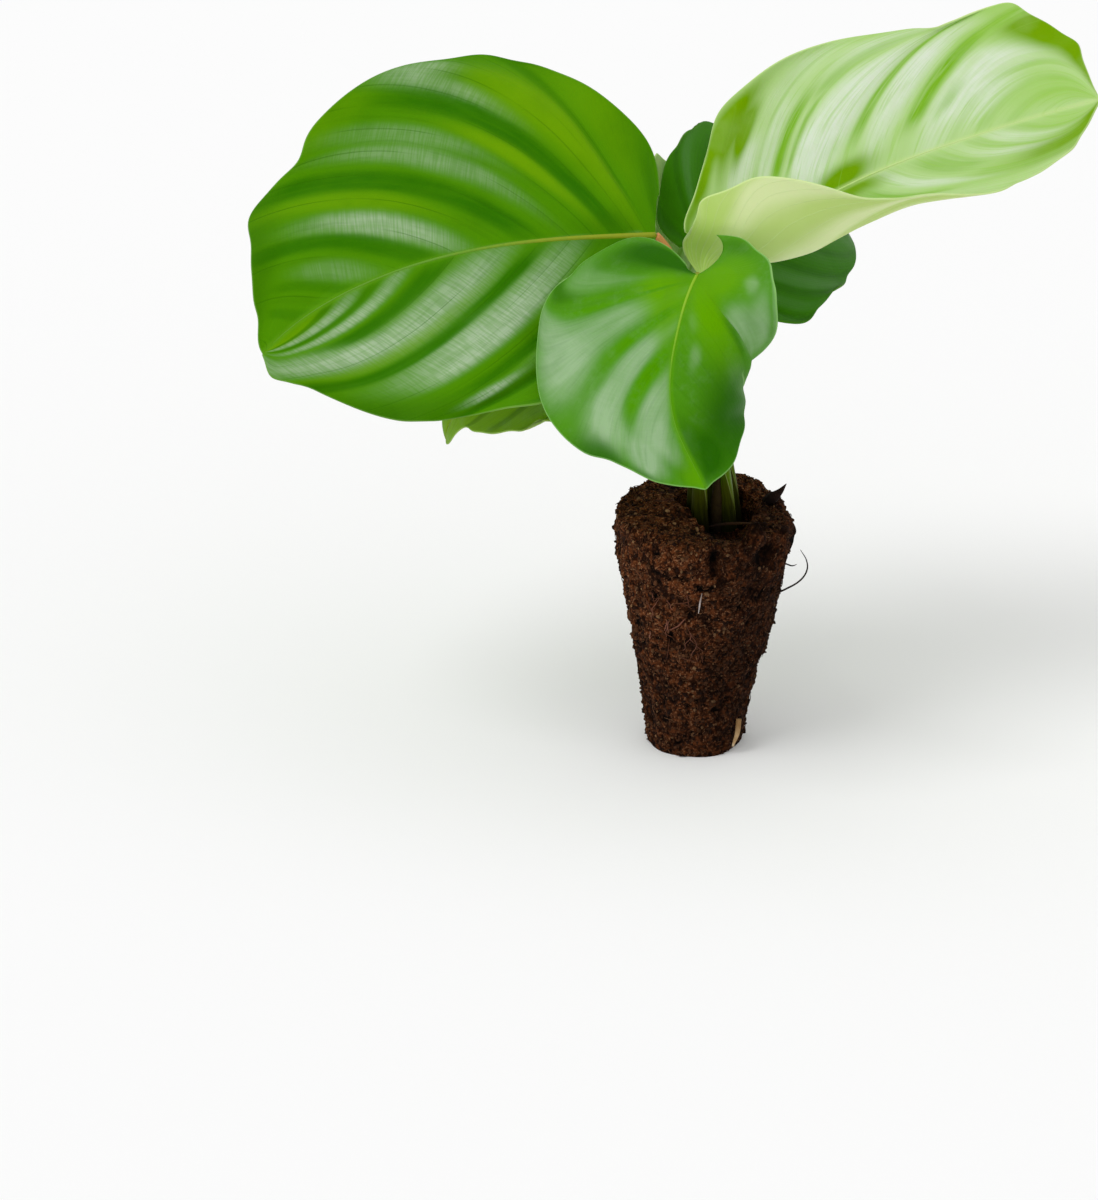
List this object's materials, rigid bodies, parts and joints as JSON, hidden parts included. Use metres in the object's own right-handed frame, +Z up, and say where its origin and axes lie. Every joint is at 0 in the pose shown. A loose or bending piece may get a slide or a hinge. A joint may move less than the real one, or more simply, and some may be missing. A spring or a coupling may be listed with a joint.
{
  "type": "young calathea orbifolia plant in a root plug",
  "caption": "Young prayer plant with round striped leaves on short stalks, standing on the flat base of its bare peat root plug.",
  "frame": {"origin": "centre of the root plug's flat base", "axes": "+Z up along the plug, -Y towards the front of the plant, +X towards the pale rolled leaf"},
  "size_m": [0.145, 0.0848, 0.1248],
  "materials": {
    "peat": "damp fibrous peat and root, matte",
    "root": "thin dark root",
    "pale_root": "young pale root",
    "bark": "rough composted bark",
    "rhizome": "fibrous rhizome",
    "dry_sheath": "old brown leaf sheath",
    "stalk": "fresh green stalk, satin",
    "green_leaf": "living leaf, thin and waxy, striped along its veins",
    "dark_leaf": "living leaf, thin and waxy, striped along its veins",
    "pale_leaf": "young leaf, pale and glossy, striped along its veins"
  },
  "bodies": {
    "root": {"root_plug": "peat", "crown": "rhizome", "dry_sheath": "dry_sheath", "bark_chip": "bark", "root_loop": "root", "root_tip": "pale_root", "left_leaf": "green_leaf", "front_leaf": "green_leaf", "right_leaf": "pale_leaf", "back_leaf": "dark_leaf", "low_leaf": "green_leaf", "spear_leaf": "pale_leaf", "left_leaf_stalk": "stalk", "front_leaf_stalk": "stalk", "right_leaf_stalk": "stalk", "back_leaf_stalk": "stalk", "low_leaf_stalk": "stalk", "spear_leaf_stalk": "stalk"}
  },
  "joints": []
}
